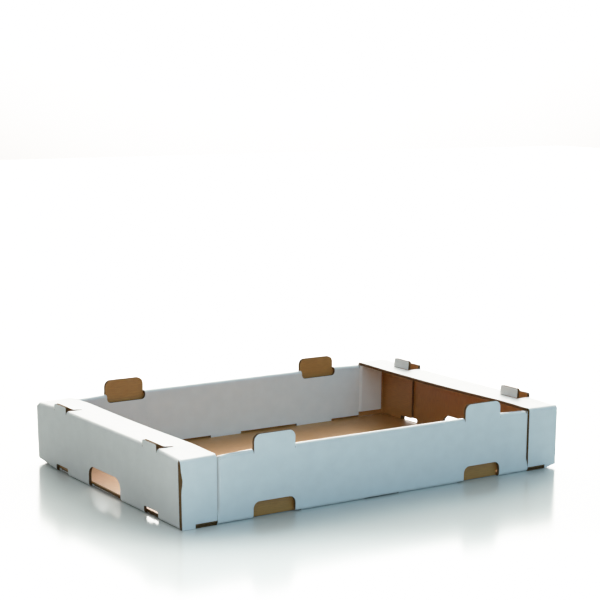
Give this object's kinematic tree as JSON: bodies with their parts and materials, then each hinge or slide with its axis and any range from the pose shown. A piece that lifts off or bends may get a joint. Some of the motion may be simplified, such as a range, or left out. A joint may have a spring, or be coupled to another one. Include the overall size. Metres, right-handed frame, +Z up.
{
  "type": "cardboard tray box",
  "caption": "Open corrugated tray that stacks: rolled-over long walls with tabs and matching notches, end ledges with swing-up tongues, and hand holes at the foot of the end walls.",
  "frame": {"origin": "centre of the tray's underside", "axes": "+X along the tray's length, +Y across it towards the rear long wall, +Z up"},
  "size_m": [0.6, 0.4, 0.105],
  "materials": {
    "white_lined_board": "matte"
  },
  "bodies": {
    "tray": {"tray_sheet": "white_lined_board"},
    "tongue_body_left_front": {"tongue_left_front": "white_lined_board"},
    "tongue_body_left_rear": {"tongue_left_rear": "white_lined_board"},
    "tongue_body_right_front": {"tongue_right_front": "white_lined_board"},
    "tongue_body_right_rear": {"tongue_right_rear": "white_lined_board"}
  },
  "joints": [
    {"name": "tongue_fold_left_front", "type": "hinge", "parent": "tray", "child": "tongue_body_left_front", "pos_m": [-0.276, -0.125, 0.089], "axis": [0, 1, 0], "range_deg": [-6, 84]},
    {"name": "tongue_fold_left_rear", "type": "hinge", "parent": "tray", "child": "tongue_body_left_rear", "pos_m": [-0.276, 0.125, 0.089], "axis": [0, 1, 0], "range_deg": [-6, 84]},
    {"name": "tongue_fold_right_front", "type": "hinge", "parent": "tray", "child": "tongue_body_right_front", "pos_m": [0.276, -0.125, 0.089], "axis": [0, -1, 0], "range_deg": [-84, 6]},
    {"name": "tongue_fold_right_rear", "type": "hinge", "parent": "tray", "child": "tongue_body_right_rear", "pos_m": [0.276, 0.125, 0.089], "axis": [0, -1, 0], "range_deg": [-84, 6]}
  ]
}
